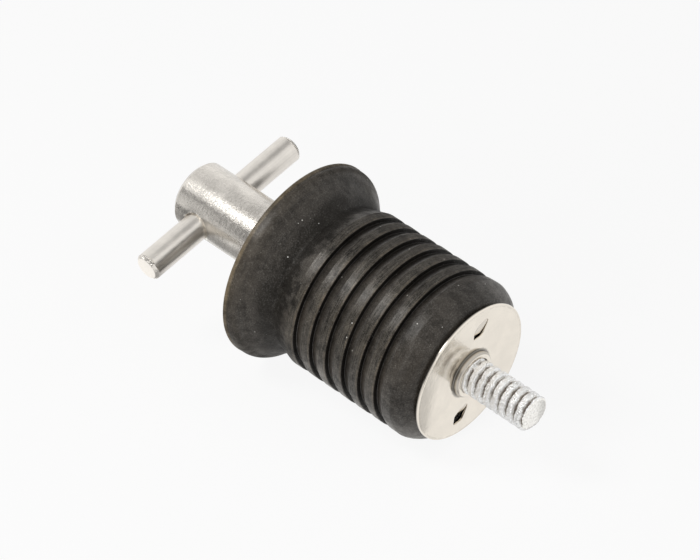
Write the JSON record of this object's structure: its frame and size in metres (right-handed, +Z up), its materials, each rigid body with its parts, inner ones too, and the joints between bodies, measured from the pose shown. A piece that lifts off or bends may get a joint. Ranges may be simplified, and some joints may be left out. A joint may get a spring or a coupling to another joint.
{
  "type": "expanding drain plug",
  "caption": "Rubber drain plug for a boat: turning the T-handle draws a metal plate along a screw and swells the ringed rubber body in its tube.",
  "frame": {"origin": "on the surface that the plug lies on, under the middle of its bounding box", "axes": "+X runs from the handle to the screw's free end along the surface, the plug's own axis dips about 6 degrees below +X, +Z is up"},
  "size_m": [0.0736, 0.0348, 0.0347],
  "materials": {
    "moulded_rubber": "matt moulded",
    "turned_metal": "satin, finely brushed",
    "screw_steel": "bright rolled",
    "plated_sheet": "polished nickel plate"
  },
  "bodies": {
    "stopper": {"rubber_stopper": "moulded_rubber", "thrust_washer": "plated_sheet"},
    "handle": {"handle_barrel": "turned_metal", "cross_bar": "turned_metal", "drive_screw": "screw_steel"},
    "plate": {"clamp_plate": "plated_sheet"}
  },
  "joints": [
    {"name": "handle_turn", "type": "hinge", "parent": "stopper", "child": "handle", "pos_m": [-0.01365, 0, 0.01738], "axis": [0.9944, 0, -0.1059], "range_deg": [0, 900]},
    {"name": "plate_draw", "type": "slide", "parent": "stopper", "child": "plate", "axis": [-0.9944, 0, 0.1059], "range_m": [0, 0.00397], "deforming": ["rubber_stopper"]}
  ],
  "couplings": [
    {"joint": "plate_draw", "follows": "handle_turn", "m_per_rad": 0.00025266}
  ]
}
